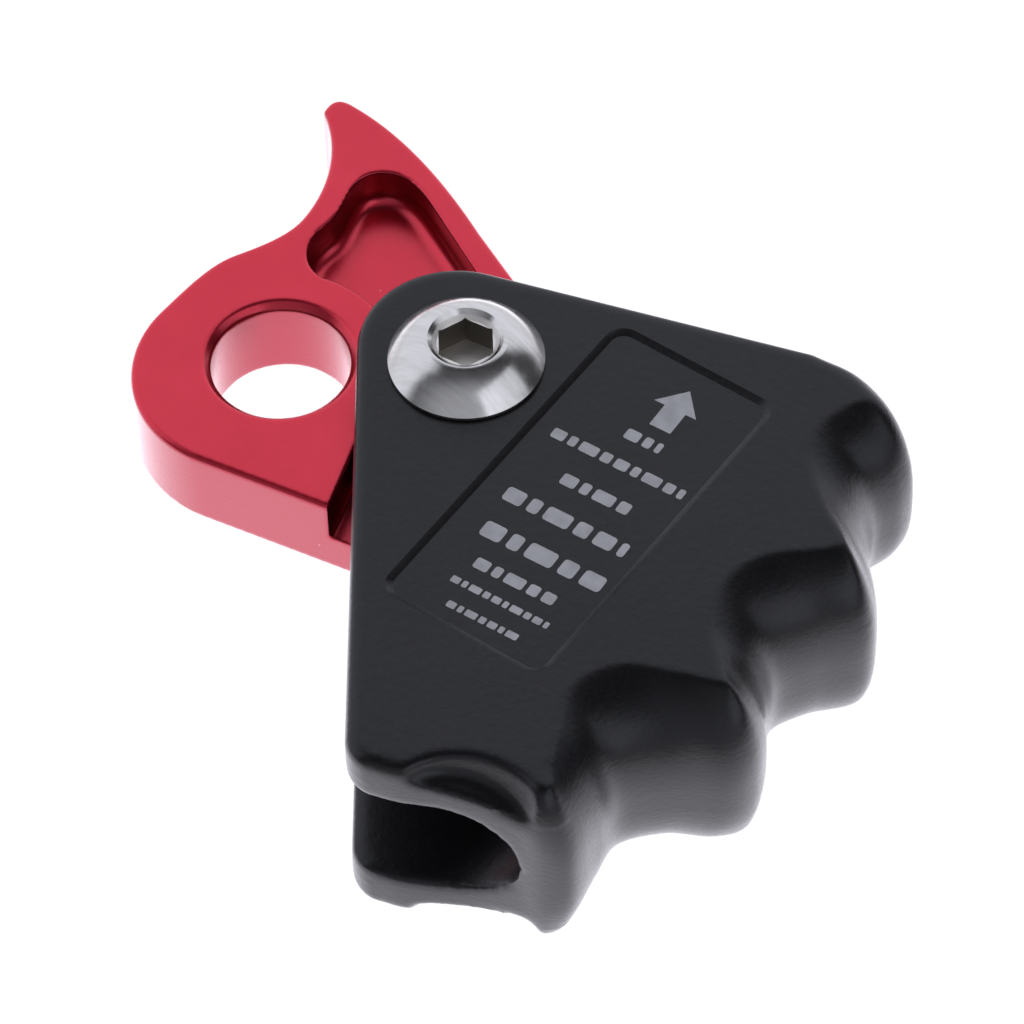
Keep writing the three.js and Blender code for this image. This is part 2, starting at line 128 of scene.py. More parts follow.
# Middle, length and height of the printed rows
PRINT_ROWS = [
    ((22.5, 2.0), 4.6, 1.5),
    ((22.0, -2.2), 17, 1.4),
    ((22.6, -7.1), 9, 1.6),
    ((22.0, -12.1), 15.6, 2.0),
    ((22.7, -17.4), 15.4, 2.2),
    ((22.2, -21.9), 10.2, 1.5),
    ((22.5, -25.1), 12.4, 0.9),
    ((22.4, -28.2), 9, 0.9),
]

# Studio

CAMERA = {"azimuth": 36.8, "elevation": 51.5, "roll": -1.65, "lens": 210.94, "distance": 651.5}
CAMERA_AIM = (16.59, -14.56)
SOFTBOX = {"azimuth": 93, "elevation": 33, "distance": 0.9, "width": 1.0, "height": 0.6}
SOFTBOX_POWER = 1.4
FLOOR_GLOW = {"near": 2.1, "far": 0.7, "reach": (0.05, 0.2), "seen": 1.0}
FLOOR_TINT = (0.93, 0.92, 1.0)
BACKDROP_TINT = (0.88, 0.9, 1.0)
BACKDROP = {"turn": 20, "side edge": (0.08, 0.28), "top edge": (56, 68), "bright": 0.98}
ROOM = {"overhead": 0.05, "behind the camera": 0.5}

# Fineness of the meshes, and rounds of softening

BODY_VOXEL = 0.3 * MM
LEVER_VOXEL = 0.22 * MM
SOFTENING = {"lever": 4, "body": 6, "channel rims": 12, "scoops": 18, "lower mouth": 40}


# Points and curves

def polar(radius, degrees, centre=(0, 0)):
    angle = math.radians(degrees)
    return (centre[0] + radius * math.cos(angle), centre[1] + radius * math.sin(angle))


def arc(centre, radius, start, end, steps=24):
    turns = np.linspace(start, end, steps + 1)
    return [polar(radius, turn, centre) for turn in turns]


def quadratic(start, control, end, steps=14):
    start, control, end = np.array(start), np.array(control), np.array(end)
    ts = np.linspace(0, 1, steps + 1)
    return [tuple((1 - t) ** 2 * start + 2 * t * (1 - t) * control + t * t * end) for t in ts]


def cubic(start, first, second, end, steps=24):
    a, b, c, d = (np.array(p) for p in (start, first, second, end))
    ts = np.linspace(0, 1, steps + 1)
    return [
        tuple((1 - t) ** 3 * a + 3 * t * (1 - t) ** 2 * b + 3 * t * t * (1 - t) * c + t ** 3 * d)
        for t in ts
    ]


def catmull_rom(points, steps):
    """Smooth curve through every point, with the given steps between neighbours."""
    points = [np.array(p, float) for p in points]
    points = [2 * points[0] - points[1], *points, 2 * points[-1] - points[-2]]
    curve = []
    for i in range(1, len(points) - 2):
        before, start, end, after = points[i - 1:i + 3]
        for t in np.arange(steps) / steps:
            tangent_in = (end - before) / 2
            tangent_out = (after - start) / 2
            curve.append(
                (2 * t ** 3 - 3 * t ** 2 + 1) * start
                + (t ** 3 - 2 * t ** 2 + t) * tangent_in
                + (3 * t ** 2 - 2 * t ** 3) * end
                + (t ** 3 - t ** 2) * tangent_out
            )
    return [*curve, points[-2]]


def without_repeats(outline, near=1e-4):
    kept = []
    for point in outline:
        if not kept or math.dist(point, kept[-1]) > near:
            kept.append(point)
    if math.dist(kept[0], kept[-1]) <= near:
        kept.pop()
    return kept


def rounded_rectangle(left, bottom, right, top, radius, steps=8):
    return [
        *arc((right - radius, bottom + radius), radius, -90, 0, steps),
        *arc((right - radius, top - radius), radius, 0, 90, steps),
        *arc((left + radius, top - radius), radius, 90, 180, steps),
        *arc((left + radius, bottom + radius), radius, 180, 270, steps),
    ]


def hexagon(across_flats, turn=0):
    return [polar(across_flats / math.sqrt(3), 60 * i + turn) for i in range(6)]


# Meshes

def to_frame(points):
    return [(PIVOT.x + x * MM, PIVOT.y + y * MM, z * MM) for x, y, z in points]


def new_object(name, points, faces):
    mesh = bpy.data.meshes.new(name)
    mesh.from_pydata(to_frame(points), [], faces)
    mesh.validate()
    mesh.update()
    obj = bpy.data.objects.new(name, mesh)
    bpy.context.scene.collection.objects.link(obj)
    return obj


def skin(name, rings):
    """Closed skin over rings of points that run counter-clockwise, from the bottom ring up."""
    count = len(rings[0])
    faces = []
    for level in range(len(rings) - 1):
        for i in range(count):
            a = level * count + i
            b = level * count + (i + 1) % count
            faces.append((a, b, b + count, a + count))
    last = (len(rings) - 1) * count
    faces.append(tuple(range(count - 1, -1, -1)))
    faces.append(tuple(range(last, last + count)))
    return new_object(name, [point for ring in rings for point in ring], faces)


def inset(outline, distance):
    """The outline moved inwards along its normals."""
    points = np.array(outline, float)
    before = points - np.roll(points, 1, axis=0)
    after = np.roll(points, -1, axis=0) - points
    before /= np.linalg.norm(before, axis=1)[:, None]
    after /= np.linalg.norm(after, axis=1)[:, None]
    tangent = before + after
    tangent /= np.linalg.norm(tangent, axis=1)[:, None]
    normal = np.stack([-tangent[:, 1], tangent[:, 0]], axis=1)
    stretch = 1 / np.clip((before * tangent).sum(1), 0.5, 1)
    return points + normal * (distance * stretch)[:, None]


def counter_clockwise(outline):
    x, y = np.array(outline, float).T
    area = (x * np.roll(y, -1) - np.roll(x, -1) * y).sum()
    return outline if area > 0 else outline[::-1]


def prism(name, outline, low, high, chamfer=0):
    outline = counter_clockwise(without_repeats(outline))
    levels = [(low, chamfer), (low + chamfer, 0), (high - chamfer, 0), (high, chamfer)]
    if chamfer == 0:
        levels = [(low, 0), (high, 0)]
    rings = [[(x, y, z) for x, y in inset(outline, depth)] for z, depth in levels]
    return skin(name, rings)


def revolve(name, profile, centre=(0, 0), segments=96):
    """Closed body turned from a profile of (radius, height) points, with a flat face at both ends."""
    rings = []
    for radius, height in profile:
        rings.append([(*polar(radius, 360 * i / segments, centre), height) for i in range(segments)])
    return skin(name, rings)


def revolve_ring(name, profile, segments=96):
    """Closed ring turned from a closed profile that doesn't touch the axis."""
    points = []
    for radius, height in profile:
        points += [(*polar(radius, 360 * i / segments), height) for i in range(segments)]
    count = len(profile)
    faces = []
    for level in range(count):
        following = (level + 1) % count
        for i in range(segments):
            j = (i + 1) % segments
            faces.append((
                level * segments + i,
                level * segments + j,
                following * segments + j,
                following * segments + i,
            ))
    return new_object(name, points, faces)


def bevelled_ring(name, inner, outer, low, high, bevel):
    return revolve_ring(name, [
        (inner + bevel, low),
        (outer - bevel, low),
        (outer, low + bevel),
        (outer, high - bevel),
        (outer - bevel, high),
        (inner + bevel, high),
        (inner, high - bevel),
        (inner, low + bevel),
    ])


def sweep(name, path, radius, sides=14):
    """Round bar along a path of points."""
    path = np.array(path, float)
    tangents = np.gradient(path, axis=0)
    tangents /= np.linalg.norm(tangents, axis=1)[:, None]
    turns = np.arange(sides) * 2 * math.pi / sides
    normal = np.cross(tangents[0], (0.3, 0.5, 0.8))
    rings = []
    for point, tangent in zip(path, tangents):
        normal = normal - tangent * (normal @ tangent)
        normal /= np.linalg.norm(normal)
        side = np.cross(tangent, normal)
        rings.append(point + radius * (np.outer(np.cos(turns), normal) + np.outer(np.sin(turns), side)))
    return skin(name, rings)


def apply_modifiers(obj):
    """Replaces the object's mesh by what its modifiers make of it."""
    bpy.context.view_layer.update()
    depsgraph = bpy.context.evaluated_depsgraph_get()
    mesh = bpy.data.meshes.new_from_object(obj.evaluated_get(depsgraph))
    obj.modifiers.clear()
    obj.data = mesh


def combine(obj, tool, operation="DIFFERENCE"):
    modifier = obj.modifiers.new("combine", "BOOLEAN")
    modifier.operation = operation
    modifier.solver = "EXACT"
    modifier.object = tool
    apply_modifiers(obj)
    bpy.data.objects.remove(tool)


def remesh(obj, voxel):
    modifier = obj.modifiers.new("remesh", "REMESH")
    modifier.mode = "VOXEL"
    modifier.voxel_size = voxel
    apply_modifiers(obj)


def soften(obj, rounds, factor=0.5, where=None):
    """Smooths the mesh, or only the vertices for which where(points in millimetres) is true."""
    modifier = obj.modifiers.new("soften", "SMOOTH")
    if where is not None:
        co = np.empty(len(obj.data.vertices) * 3)
        obj.data.vertices.foreach_get("co", co)
        points = (co.reshape(-1, 3) - (PIVOT.x, PIVOT.y, 0)) / MM
        group = obj.vertex_groups.new(name="soften")
        group.add(np.flatnonzero(where(points)).tolist(), 1.0, "REPLACE")
        modifier.vertex_group = group.name
    modifier.factor = factor
    modifier.iterations = rounds
    apply_modifiers(obj)


def smooth_shading(obj, sharp_degrees=None):
    obj.data.shade_smooth()
    if sharp_degrees is not None:
        obj.data.set_sharp_from_angle(angle=math.radians(sharp_degrees))


def set_material(obj, material):
    obj.data.materials.clear()
    obj.data.materials.append(material)


# Body

# Stations of the grip's outline: the edge of the flat face, the widest outline that belongs to it
# and the height over which the surface rounds from one to the other
GRIP_STATIONS = [
    ((23.1, -49.1), (23.1, -50.9), PLATE_ROUNDING),
    ((26.6, -48.2), (26.6, -50.0), PLATE_ROUNDING),
    ((30.9, -46.2), (30.7, -48.1), 2.2),
    ((35.0, -44.7), (35.0, -46.5), 3),
    ((38.5, -43.7), (39.2, -45.6), 5),
    ((40.4, -43.0), (42.2, -45.4), 9),
    ((41.0, -41.8), (44.6, -44.1), MIDDLE),
    ((39.8, -40.4), (45.0, -42.2), MIDDLE),
    ((37.9, -36.3), (44.3, -37.6), MIDDLE),
    ((35.6, -30.4), (44.1, -32.8), MIDDLE),
    ((38.0, -25.0), (48.0, -28.4), MIDDLE),
    ((43.9, -22.3), (52.4, -25.6), MIDDLE),
    ((48.4, -20.6), (53.8, -22.2), MIDDLE),
    ((46.2, -18.4), (52.8, -18.6), MIDDLE),
    ((42.7, -14.6), (50.3, -14.8), MIDDLE),
    ((40.9, -9.0), (49.1, -10.6), MIDDLE),
    ((42.6, -3.8), (51.4, -6.0), MIDDLE),
    ((48.3, 2.2), (54.6, -1.4), MIDDLE),
    ((43.0, 6.2), (52.7, 3.2), MIDDLE),
    ((38.7, 10.2), (48.2, 8.4), MIDDLE),
    ((37.3, 14.6), (45.6, 13.4), MIDDLE),
    ((38.3, 18.6), (46.6, 17.6), MIDDLE),
    ((39.4, 20.4), (45.9, 20.8), MIDDLE),
    ((38.4, 21.6), (42.2, 23.2), 10),
    ((35.2, 21.9), (36.6, 24.2), 5),
]


def top_edge_point(x, inset_by=0):
    angle = math.radians(TOP_EDGE["normal"])
    return (x, (TOP_EDGE["distance"] - inset_by - x * math.cos(angle)) / math.sin(angle))


def pivot_corner_centre():
    """Centre of the arc between the top edge and the left edge."""
    top = np.array(polar(1, TOP_EDGE["normal"]))
    left = np.array(polar(1, LEFT_EDGE["normal"]))
    distances = (
        TOP_EDGE["distance"] - PIVOT_CORNER_RADIUS,
        LEFT_EDGE["distance"] - PIVOT_CORNER_RADIUS,
    )
    return tuple(np.linalg.solve(np.array([top, left]), np.array(distances)))


def body_outline():
    """Rows of (flat x, y, widest x, y, rounding) all round the plate."""
    flat_end_x, widest_end_x = 30.4, 31
    last = (top_edge_point(flat_end_x, PLATE_ROUNDING), top_edge_point(widest_end_x), PLATE_ROUNDING)
    stations = [*GRIP_STATIONS, last]
    rows = catmull_rom([(*flat, *widest, rounding) for flat, widest, rounding in stations], 10)
    bottom = BOTTOM_CORNER
    corners = [
        (pivot_corner_centre(), PIVOT_CORNER_RADIUS, TOP_EDGE["normal"], LEFT_EDGE["normal"]),
        (bottom["centre"], bottom["radius"], LEFT_EDGE["normal"], bottom["end"]),
    ]
    steps = 40
    for centre, radius, start, end in corners:
        flat = arc(centre, radius - PLATE_ROUNDING, start, end, steps)
        widest = arc(centre, radius, start, end, steps)
        rows += [(*f, *w, PLATE_ROUNDING) for f, w in zip(flat, widest)]
    return np.array(rows, float)


def body_blank():
    """Solid body without its channel, rounded from the outline of each flat face to the middle."""
    rows = body_outline()
    half_seam = 0.02
    flat, widest, rounding = rows[:, 0:2], rows[:, 2:4], rows[:, 4]
    grip_share = (rounding - PLATE_ROUNDING).clip(0) / (MIDDLE - PLATE_ROUNDING)
    start = np.radians(GRIP_BREAK * grip_share)
    first_out = np.sin(start) ** FULLNESS
    front = []
    for part in np.linspace(0, 1, 19):
        angle = start + (math.pi / 2 - start) * part
        spread = (np.sin(angle) ** FULLNESS - first_out) / (1 - first_out)
        drop = rounding * (1 - (np.cos(angle).clip(0) / np.cos(start)) ** FULLNESS)
        outline = flat + (widest - flat) * spread[:, None]
        height = np.maximum(BODY_THICKNESS - drop, MIDDLE + half_seam)
        front.append(np.column_stack([outline, height]))
    back = [ring * (1, 1, -1) + (0, 0, BODY_THICKNESS) for ring in front]
    return skin("body_shell", [*back, *front[::-1]])


def channel_tool():
    """Rope channel, open on the left; its closed end narrows as half an ellipse."""
    reach = 120
    side = [(-reach, CHANNEL_BACK)]
    for angle in np.radians(np.linspace(-90, 90, 41)):
        depth = CHANNEL_END_DEPTH * (math.cos(angle) - 1)
        side.append((CHANNEL_END + depth, MIDDLE + CHANNEL_WIDTH / 2 * math.sin(angle)))
    side.append((-reach, CHANNEL_FRONT))
    rings = [[(x, y, z) for x, z in side] for y in (reach, -reach)]
    return skin("channel_tool", rings)


def scoop_tool(face, outwards):
    """Dished step whose floor slopes down to the mouth and the heel, cut into a face of the body."""
    radii = np.array(SCOOP["radii"])
    turns = np.radians(np.arange(0, 360, 4))
    circle = np.column_stack([np.cos(turns), np.sin(turns)])
    foot = SCOOP["foot"]
    rings = []
    for angle in np.radians(np.linspace(0, 90, 9)):
        outline = circle * (radii - foot * (1 - math.sin(angle))) + SCOOP["centre"]
        along = outline - SCOOP_SLOPE["at"]
        depth = SCOOP["depth"] + SCOOP_SLOPE["x"] * along[:, 0] + SCOOP_SLOPE["y"] * along[:, 1]
        depth -= foot * (1 - math.cos(angle))
        rings.append(np.column_stack([outline, face - outwards * depth]))
    top_of_foot = rings[-1][:, 2]
    for rise in (2, 12):
        outline = circle * (radii + SCOOP["lean"] * rise) + SCOOP["centre"]
        rings.append(np.column_stack([outline, top_of_foot + outwards * rise]))
    if outwards < 0:
        rings.reverse()
    return skin("scoop_tool", rings)


def label_tool():
    """Shallow panel whose rim slopes up to the face."""
    outline = counter_clockwise(rounded_rectangle(**LABEL))
    run = LABEL_DEPTH / math.tan(math.radians(LABEL_RIM_SLOPE))
    levels = [
        (BODY_THICKNESS - LABEL_DEPTH, run / 2),
        (BODY_THICKNESS, -run / 2),
        (BODY_THICKNESS + MARGIN, -run / 2 - MARGIN),
    ]
    rings = [[(x, y, z) for x, y in inset(outline, depth)] for z, depth in levels]
    return skin("label_tool", rings)


def shoulder_point(radius, gap=0):
    """Point of the stop's shoulder, or of the line a gap short of it, at a radius from the pivot."""
    angle = math.degrees(math.acos((SHOULDER["distance"] - gap) / radius))
    return polar(radius, SHOULDER["normal"] + angle)


def stop_lug():
    """Lug inside the front plate that the lever's notch turns round; it limits the travel."""
    lug = STOP_LUG
    outline = [
        shoulder_point(lug["inner"], GAP),
        shoulder_point(lug["outer"], GAP),
        *arc((0, 0), lug["outer"], lug["start"], lug["end"], 4),
        polar(lug["inner"], lug["end"]),
    ]
    above_notch_floor = 0.4
    return prism("stop_lug", outline, MIDDLE + above_notch_floor, CHANNEL_FRONT + MARGIN)


def near_scoops(points):
    """Both plates round their scoops."""
    left, top = 24, -39.5
    x, y, z = points.T
    return (abs(z - MIDDLE) > CHANNEL_WIDTH / 2) & (y < top) & (x > left)


def near_lower_mouth(points):
    """The channel's lower mouth and a band of the plates beside it."""
    band, top = 2.5, -41
    x, y, z = points.T
    return (abs(z - MIDDLE) < CHANNEL_WIDTH / 2 + band) & (y < top)


def near_channel_rims(points):
    """A band on either side of both walls of the channel."""
    band = 0.7
    x, y, z = points.T
    return abs(abs(z - MIDDLE) - CHANNEL_WIDTH / 2) < band


def make_body():
    body = body_blank()
    combine(body, channel_tool())
    combine(body, scoop_tool(BODY_THICKNESS, 1))
    combine(body, scoop_tool(0, -1))
    combine(body, stop_lug(), "UNION")
    remesh(body, BODY_VOXEL)
    soften(body, SOFTENING["body"])
    soften(body, SOFTENING["channel rims"], where=near_channel_rims)
    soften(body, SOFTENING["scoops"], where=near_scoops)
    soften(body, SOFTENING["lower mouth"], where=near_lower_mouth)
    combine(body, label_tool())
    hole = BOLT_RADIUS + GAP
    combine(body, revolve("hole_tool", [(hole, -MARGIN), (hole, BODY_THICKNESS + MARGIN)]))
    nut_pocket = hexagon(NUT_FLATS + 2 * GAP)
    above_nut = 0.1
    combine(body, prism("nut_pocket", nut_pocket, -MARGIN, NUT_FRONT + above_nut))
    smooth_shading(body, 23)
    return body


# Cam lever

def horn_line(x):
    point = HORN_LINE["point"]
    return (x, point[1] + (x - point[0]) * math.tan(math.radians(HORN_LINE["slope"])))


def nose_face(degrees):
    """Point of the cam face, which lies further out the further it is below 0 degrees."""
    return polar(NOSE["radius"] - NOSE["growth"] * degrees, degrees)


def lever_outline():
    centre, radius = EYE_LUG["centre"], EYE_LUG["radius"]
    lug_start = 176
    lug_end = 270 + LEVER_BOTTOM_SLOPE
    low = polar(radius, lug_end, centre)
    rise = math.tan(math.radians(LEVER_BOTTOM_SLOPE))
    nose_start_x = 25.5
    nose_start = (nose_start_x, low[1] + (nose_start_x - low[0]) * rise)
    waist = (-32, 11.8)
    lug_shoulder = (-35.1, 3)
    return [
        *arc(centre, radius, lug_start, lug_end, 48),
        *quadratic(nose_start, nose_face(-29), nose_face(-22)),
        *[nose_face(angle) for angle in range(-21, -6)],
        *quadratic(nose_face(-7), nose_face(0), horn_line(26.5)),
        *cubic(horn_line(-14), (-22, 25.9), (-30, 29), (-37.4, 29.3)),
        *quadratic((-37.4, 29.3), (-40.6, 29.6), (-39.9, 26.5)),
        *cubic((-39.9, 26.5), (-35.2, 23.2), (-32.3, 17.6), waist),
        *cubic(waist, (-31.9, 8.9), (-33.4, 6), lug_shoulder),
        *cubic(lug_shoulder, (-36.6, 0.3), (-36.7, -3.7), polar(radius, lug_start, centre)),
    ]


def pocket_outline():
    wall = POCKET["eye_radius"]
    return [
        *arc(EYE_CENTRE, wall, 106, 56, 20),
        *arc((0, 0), POCKET["hub_radius"], 145, 100, 20),
        (-6.8, 14.4),
        *cubic((-20.8, 21.8), (-24.9, 24), (-27.7, 24), (-29.5, 21.6)),
        *cubic((-29.5, 21.6), (-31.1, 19), (-28.7, 16), (-29.1, 13)),
        *cubic((-29.1, 13), (-29.6, 9.8), (-28.9, 6.4), polar(wall, 106, EYE_CENTRE)),
    ]


def notch_outline():
    """Notch in the lever's front half, from the shoulder round the hub to the nose."""
    reach = 34
    nose_reach = 22
    return [
        polar(SHOULDER["distance"], SHOULDER["normal"]),
        shoulder_point(reach),
        polar(reach, -75),
        polar(nose_reach, NOTCH_END),
        *arc((0, 0), HUB_RADIUS, NOTCH_END, SHOULDER["normal"] - 360, 30),
    ]


def eye_tool():
    """Carabiner hole with its chamfers."""
    mouth = EYE_RADIUS + EYE_CHAMFER
    return revolve("eye_tool", [
        (EYE_RADIUS + (EYE_BACK_CHAMFER + MARGIN), LEVER_BACK - MARGIN),
        (EYE_RADIUS, LEVER_BACK + EYE_BACK_CHAMFER),
        (EYE_RADIUS, LEVER_FRONT - EYE_CHAMFER),
        (mouth, LEVER_FRONT),
        (mouth + MARGIN, LEVER_FRONT + MARGIN),
    ], EYE_CENTRE)


def leg_window():
    """Window in the lever that the spring's leg stands in all the way through the travel."""
    start = SPRING["leg"] - LEG_WINDOW["before the leg"]
    end = start + LEG_WINDOW["turn"]
    return [
        *arc((0, 0), LEG_WINDOW["outer"], start, end, 16),
        polar(LEG_WINDOW["inner"], end),
        polar(LEG_WINDOW["inner"], start),
    ]


def distance_to_outline(points, outline):
    """Distance from each point to the nearest side of a closed outline."""
    outline = np.array(outline)
    nearest = np.full(len(points), np.inf)
    for start, end in zip(outline, np.roll(outline, -1, axis=0)):
        side = end - start
        along = np.clip(((points - start) @ side) / (side @ side), 0, 1)
        nearest = np.minimum(nearest, np.linalg.norm(points - start - along[:, None] * side, axis=1))
    return nearest


def add_pocket_cove(lever):
    """Raises the pocket's floor into a quarter-round where it meets the wall."""
    mesh = lever.data
    co = np.empty(len(mesh.vertices) * 3)
    mesh.vertices.foreach_get("co", co)
    co = co.reshape(-1, 3)
    flat = (co[:, :2] - (PIVOT.x, PIVOT.y)) / MM
    height = co[:, 2] / MM
    floor = LEVER_FRONT - POCKET["depth"]
    cove = POCKET["cove"]
    outline = without_repeats(pocket_outline())
    low, high = np.min(outline, axis=0) - 1, np.max(outline, axis=0) + 1
    near = ((flat > low) & (flat < high)).all(1) & (abs(height - floor) < cove + 0.5)
    near = np.flatnonzero(near)
    distance = distance_to_outline(flat[near], outline)
    reached = inside_outline(flat[near], outline) | (distance < LEVER_VOXEL / MM)
    near, distance = near[reached], distance[reached]
    rise = cove - np.sqrt(np.maximum(cove ** 2 - np.maximum(cove - distance, 0) ** 2, 0))
    co[near, 2] = np.maximum(co[near, 2], (floor + rise) * MM)
    mesh.vertices.foreach_set("co", co.ravel())
    mesh.update()


def inside_outline(points, outline):
    outline = np.array(outline)
    crossings = np.zeros(len(points), int)
    for (x0, y0), (x1, y1) in zip(outline, np.roll(outline, -1, axis=0)):
        if y0 == y1:
            continue
        spans = (points[:, 1] > min(y0, y1)) & (points[:, 1] <= max(y0, y1))
        crossing_x = x0 + (points[:, 1] - y0) * (x1 - x0) / (y1 - y0)
        crossings += spans & (points[:, 0] < crossing_x)
    return crossings % 2 == 1


def make_lever():
    lever = prism("lever_plate", lever_outline(), LEVER_BACK, LEVER_FRONT, LEVER_CHAMFER)
    below, above = LEVER_BACK - MARGIN, LEVER_FRONT + 2 * MARGIN
    combine(lever, prism("pocket", pocket_outline(), LEVER_FRONT - POCKET["depth"], above))
    combine(lever, prism("notch", notch_outline(), MIDDLE, above))
    combine(lever, eye_tool())
    bore = SLEEVE_RADIUS + SLEEVE_CLEARANCE
    combine(lever, revolve("bore_tool", [(bore, below), (bore, above)]))
    pocket = SPRING["pocket"]
    combine(lever, revolve("spring_pocket", [(pocket, below), (pocket, SPRING["floor"])]))
    combine(lever, prism("leg_window", leg_window(), below, SPRING["floor"]))
    remesh(lever, LEVER_VOXEL)
    add_pocket_cove(lever)
    soften(lever, SOFTENING["lever"])
    smooth_shading(lever)
    return lever


# Pivot hardware

def head_profile():
    """Height of the head's seat, and the dome's profile from its rim to its crown."""
    seat = BODY_THICKNESS + 0.05
    rim = 0.5
    crown = 4.6
    bulge = 0.55
    parts = np.linspace(0, 1, 17)
    dome = [
        (
            HEAD_RADIUS + (crown - HEAD_RADIUS) * t,
            seat + rim + (BOLT_TOP - seat - rim) * t + bulge * math.sin(math.pi * t),
        )
        for t in parts
    ]
    return seat, dome


def make_bolt():
    seat, dome = head_profile()
    socket_floor = BOLT_TOP - HEX_DEPTH
    tip_chamfer = 0.6
    rim_chamfer = 0.15
    top_flat = 4.2
    bolt = revolve("button_head_bolt", [
        (BOLT_RADIUS - tip_chamfer, BOLT_BACK),
        (BOLT_RADIUS, BOLT_BACK + tip_chamfer),
        (BOLT_RADIUS, seat),
        (HEAD_RADIUS - rim_chamfer, seat),
        (HEAD_RADIUS, seat + rim_chamfer),
        *dome,
        (top_flat, BOLT_TOP),
    ], segments=128)
    mouth = SOCKET_MOUTH
    combine(bolt, revolve("mouth_tool", [
        (mouth["inner"], BOLT_TOP - mouth["depth"]),
        (mouth["outer"], BOLT_TOP),
        (mouth["outer"] + 1.05 * MARGIN, BOLT_TOP + MARGIN),
    ]))
    combine(bolt, prism("hex_tool", hexagon(HEX_FLATS, HEX_TURN), socket_floor, BOLT_TOP + MARGIN))
    smooth_shading(bolt, 30)
    return bolt


def make_nut():
    corner = NUT_FLATS / math.sqrt(3)
    chamfer = 0.75
    cut = 1.3
    clear = 0.1
    skim = 0.01
    nut = prism("thin_lock_nut", hexagon(NUT_FLATS), NUT_BACK, NUT_FRONT)
    combine(nut, revolve("nut_chamfer", [
        (corner - cut, NUT_BACK - skim),
        (corner + clear, NUT_BACK + chamfer),
        (corner + clear, NUT_FRONT - chamfer),
        (corner - cut, NUT_FRONT + skim),
    ]), "INTERSECT")
    hole = BOLT_RADIUS + GAP
    countersink = 0.5
    combine(nut, revolve("nut_hole", [
        (hole + cut, NUT_BACK - MARGIN),
        (hole, NUT_BACK + countersink),
        (hole, NUT_FRONT - countersink),
        (hole + cut, NUT_FRONT + MARGIN),
    ]))
    smooth_shading(nut, 20)
    return nut


def make_sleeve():
    inner = BOLT_RADIUS + GAP
    bevel = 0.25
    sleeve = bevelled_ring(
        "bearing_sleeve", inner, SLEEVE_RADIUS, SLEEVE_BACK, SLEEVE_FRONT, bevel
    )
    smooth_shading(sleeve, 30)
    return sleeve


def make_washer(name, node):
    low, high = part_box(node)
    inner = SLEEVE_RADIUS + SLEEVE_CLEARANCE
    outer = (high.x - low.x) / 2 / MM
    bevel = 0.15
    washer = bevelled_ring(name, inner, outer, low.z / MM, high.z / MM, bevel)
    takes_the_foot = outer > SPRING["pocket"] + 1
    if takes_the_foot:
        place = polar(SPRING["radius"], SPRING["foot"])
        hole = SPRING["wire"] + 2 * GAP
        combine(washer, revolve("foot_hole", [(hole, 0), (hole, LEVER_FRONT)], place, 32))
    smooth_shading(washer, 30)
    return washer


def make_spring():
    """A foot in the back plate, two and a half coils and a leg in the lever's window."""
    radius = SPRING["radius"]
    foot = SPRING["foot"]
    leg = SPRING["leg"]
    turn = 2 * 360 + (leg - foot) % 360
    lead = 9
    coil_back = LEVER_BACK + 0.8
    coil_front = SPRING["floor"] - 0.75
    path = [(*polar(radius, foot), CHANNEL_BACK - 1), (*polar(radius, foot), CHANNEL_BACK + 0.6)]
    for part in np.linspace(0, 1, 41):
        angle = foot + lead + (turn - 2 * lead) * part
        path.append((*polar(radius, angle), coil_back + (coil_front - coil_back) * part))
    path += [(*polar(radius + 2, leg), coil_front), (*polar(SPRING_LEG_END, leg), coil_front)]
    inside_the_cad = 0.03
    spring = sweep("return_spring", catmull_rom(path, 6), SPRING["wire"] - inside_the_cad)
    smooth_shading(spring, 60)
    return spring


# Print

def printed_dashes(length, height):
    """Starts and widths of dashes that fill a row; they stand for lettering without being any."""
    pattern = [1.2, 0.7, 1.6, 0.9]
    gap = 0.35 * height
    dashes = []
    start = 0
    while start < length - 0.3:
        width = min(pattern[len(dashes) % len(pattern)] * height, length - start)
        dashes.append((start - length / 2, width))
        start += width + gap
    return dashes


def make_print():
    """Up arrow and rows of plain dashes on the floor of the label panel."""
    shapes = []
    tip = ARROW["tip"]
    head_width, head_height = ARROW["head"]
    stem_width, stem_height = ARROW["stem"]
    arrow = [
        (0, 0),
        (-head_width / 2, -head_height),
        (-stem_width / 2, -head_height),
        (-stem_width / 2, -head_height - stem_height),
        (stem_width / 2, -head_height - stem_height),
        (stem_width / 2, -head_height),
        (head_width / 2, -head_height),
    ]
    shapes.append((tip, arrow))
    for middle, length, height in PRINT_ROWS:
        for start, width in printed_dashes(length, height):
            right, top = start + width, height / 2
            shapes.append((middle, rounded_rectangle(start, -top, right, top, 0.2 * height, 3)))
    low = BODY_THICKNESS - LABEL_DEPTH - PRINT_HEIGHT
    high = low + 2 * PRINT_HEIGHT
    turn = np.radians(PRINT_TILT)
    points = []
    faces = []
    for place, outline in shapes:
        x, y = np.array(outline).T
        x, y = x * np.cos(turn) - y * np.sin(turn), x * np.sin(turn) + y * np.cos(turn)
        ring = list(zip(x + place[0], y + place[1]))
        first, count = len(points), len(ring)
        points += [(*point, low) for point in ring] + [(*point, high) for point in ring]
        faces.append(tuple(range(first + count - 1, first - 1, -1)))
        faces.append(tuple(range(first + count, first + 2 * count)))
        for i in range(count):
            a, b = first + i, first + (i + 1) % count
            faces.append((a, b, b + count, a + count))
    return new_object("printed_marks", points, faces)


# Materials

